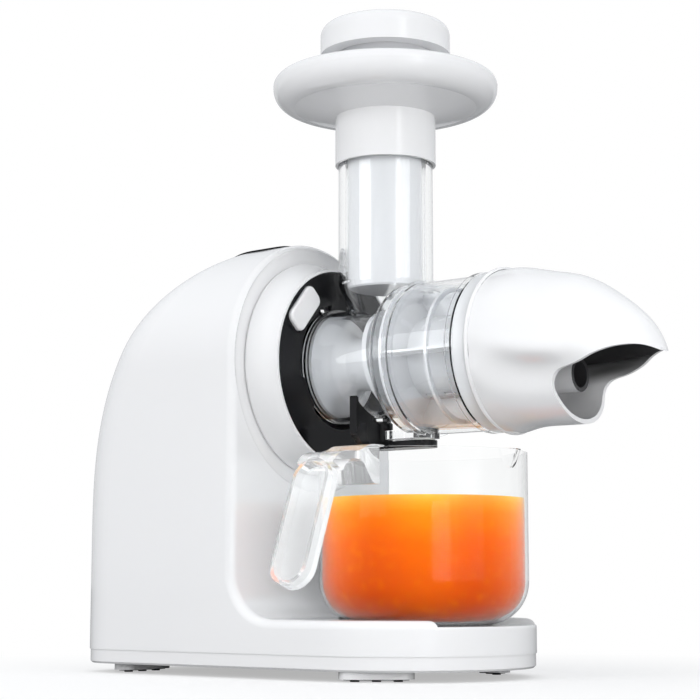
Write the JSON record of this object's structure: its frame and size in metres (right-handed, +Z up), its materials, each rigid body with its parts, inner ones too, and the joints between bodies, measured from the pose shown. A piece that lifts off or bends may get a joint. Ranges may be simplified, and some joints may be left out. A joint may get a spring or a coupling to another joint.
{
  "type": "cold press juicer",
  "caption": "Horizontal slow juicer: arched motor housing with a round-ended platform, clear drum with feed tube, tray and pusher, pulp nozzle, lever valve under the drum and a handled jug.",
  "frame": {"origin": "middle of the whole object's footprint, on the table", "axes": "+X along the drum from the motor housing towards the pulp nozzle, +Y away from the side with the jug's handle, +Z up"},
  "size_m": [0.376, 0.2056, 0.395],
  "materials": {
    "white_plastic": "glossy",
    "black_gloss": "glossy",
    "black_matte": "satin",
    "grey_plastic": "matte",
    "clear_plastic": "clear gloss",
    "frosted_plastic": "frosted",
    "strainer_plastic": "satin",
    "auger_plastic": "satin",
    "pusher_plastic": "glossy",
    "grey_cap": "glossy",
    "mesh_steel": "fine mesh",
    "screw_steel": "satin",
    "spring_steel": "drawn wire",
    "gear_steel": "machined",
    "gear_plastic": "moulded",
    "bronze": "sintered",
    "motor_shell": "satin",
    "laminations": "laminated",
    "copper": "bright",
    "board": "matte",
    "foot_rubber": "matte",
    "black_rubber": "matte",
    "seal_rubber": "silicone"
  },
  "bodies": {
    "base": {"housing_shell": "white_plastic", "base_plate": "white_plastic", "base_screws": "screw_steel", "rubber_feet": "foot_rubber", "control_panel": "black_gloss", "switch_body": "black_matte", "cord_gland": "black_rubber", "circuit_board": "board", "face_plate": "black_gloss", "bayonet_socket": "grey_plastic", "socket_screws": "screw_steel", "button_spring": "spring_steel", "gear_axles": "gear_steel", "gearbox_case": "grey_plastic", "gearbox_cover": "grey_plastic", "gearbox_screws": "screw_steel", "drive_bearings": "bronze", "shaft_seal": "black_rubber", "motor_front_bell": "motor_shell", "motor_rear_bell": "motor_shell", "motor_bearings": "bronze", "stator": "laminations"},
    "rotor_group": {"rotor": "laminations", "rotor_shaft": "gear_steel", "commutator": "copper", "motor_pinion": "gear_steel", "cooling_fan": "black_matte"},
    "first_wheel": {"first_gear": "gear_plastic"},
    "second_wheel": {"second_gear": "gear_plastic"},
    "drive": {"output_gear": "gear_steel", "drive_shaft": "gear_steel"},
    "auger_screw": {"auger": "auger_plastic"},
    "drum": {"juicing_drum": "clear_plastic", "auger_seal": "seal_rubber", "strainer_cage": "strainer_plastic", "strainer_mesh": "mesh_steel"},
    "nozzle": {"nozzle_cap": "grey_cap", "locking_ring": "frosted_plastic", "pulp_plate": "strainer_plastic", "auger_bush": "bronze"},
    "valve": {"outlet_valve": "black_matte", "valve_plug": "seal_rubber"},
    "tray": {"feeding_tray": "white_plastic"},
    "pusher_group": {"pusher": "pusher_plastic", "pusher_knob": "white_plastic"},
    "button": {"release_button": "white_plastic"},
    "rocker": {"power_rocker": "black_matte"},
    "jug_group": {"jug": "clear_plastic", "jug_handle": "clear_plastic"}
  },
  "joints": [
    {"name": "rotor_spin", "type": "hinge", "parent": "base", "child": "rotor_group", "pos_m": [-0.1176, 0.02479, 0.10724], "axis": [1, 0, 0], "continuous": true},
    {"name": "first_gear_spin", "type": "hinge", "parent": "base", "child": "first_wheel", "pos_m": [-0.0876, 0.01475, 0.13338], "axis": [1, 0, 0], "continuous": true},
    {"name": "second_gear_spin", "type": "hinge", "parent": "base", "child": "second_wheel", "pos_m": [-0.0776, 0.04673, 0.14761], "axis": [1, 0, 0], "continuous": true},
    {"name": "drive_spin", "type": "hinge", "parent": "base", "child": "drive", "pos_m": [-0.0576, 0.02485, 0.1855], "axis": [1, 0, 0], "continuous": true},
    {"name": "auger_spin", "type": "hinge", "parent": "base", "child": "auger_screw", "pos_m": [0.0024, 0.02485, 0.1855], "axis": [1, 0, 0], "continuous": true},
    {"name": "drum_twist", "type": "hinge", "parent": "base", "child": "drum", "pos_m": [0.0024, 0.02485, 0.1855], "axis": [1, 0, 0], "range_deg": [0, 42]},
    {"name": "nozzle_twist", "type": "hinge", "parent": "drum", "child": "nozzle", "pos_m": [0.0904, 0.02485, 0.1855], "axis": [1, 0, 0], "range_deg": [0, 34]},
    {"name": "valve_swing", "type": "hinge", "parent": "drum", "child": "valve", "pos_m": [0.0004, 0.02485, 0.139], "axis": [0, 0, 1], "range_deg": [0, 25]},
    {"name": "tray_lift", "type": "slide", "parent": "drum", "child": "tray", "axis": [0, 0, 1], "range_m": [0, 0.06]},
    {"name": "pusher_lift", "type": "slide", "parent": "tray", "child": "pusher_group", "axis": [0, 0, 1], "range_m": [0, 0.12]},
    {"name": "button_press", "type": "slide", "parent": "base", "child": "button", "axis": [-1, 0, 0], "range_m": [0, 0.003], "stiffness_N_per_m": 500, "springref_m": -0.002, "deforming": ["button_spring"]},
    {"name": "rocker_tilt", "type": "hinge", "parent": "base", "child": "rocker", "pos_m": [-0.0896, 0.02485, 0.25562], "axis": [0, 1, 0], "range_deg": [0, 14]},
    {"name": "jug_slide", "type": "slide", "parent": "base", "child": "jug_group", "axis": [1, 0, 0], "range_m": [0, 0.15]}
  ],
  "couplings": [
    {"joint": "first_gear_spin", "follows": "rotor_spin", "ratio": -0.25},
    {"joint": "second_gear_spin", "follows": "rotor_spin", "ratio": 0.0625},
    {"joint": "drive_spin", "follows": "rotor_spin", "ratio": -0.015625},
    {"joint": "auger_spin", "follows": "rotor_spin", "ratio": -0.015625}
  ]
}
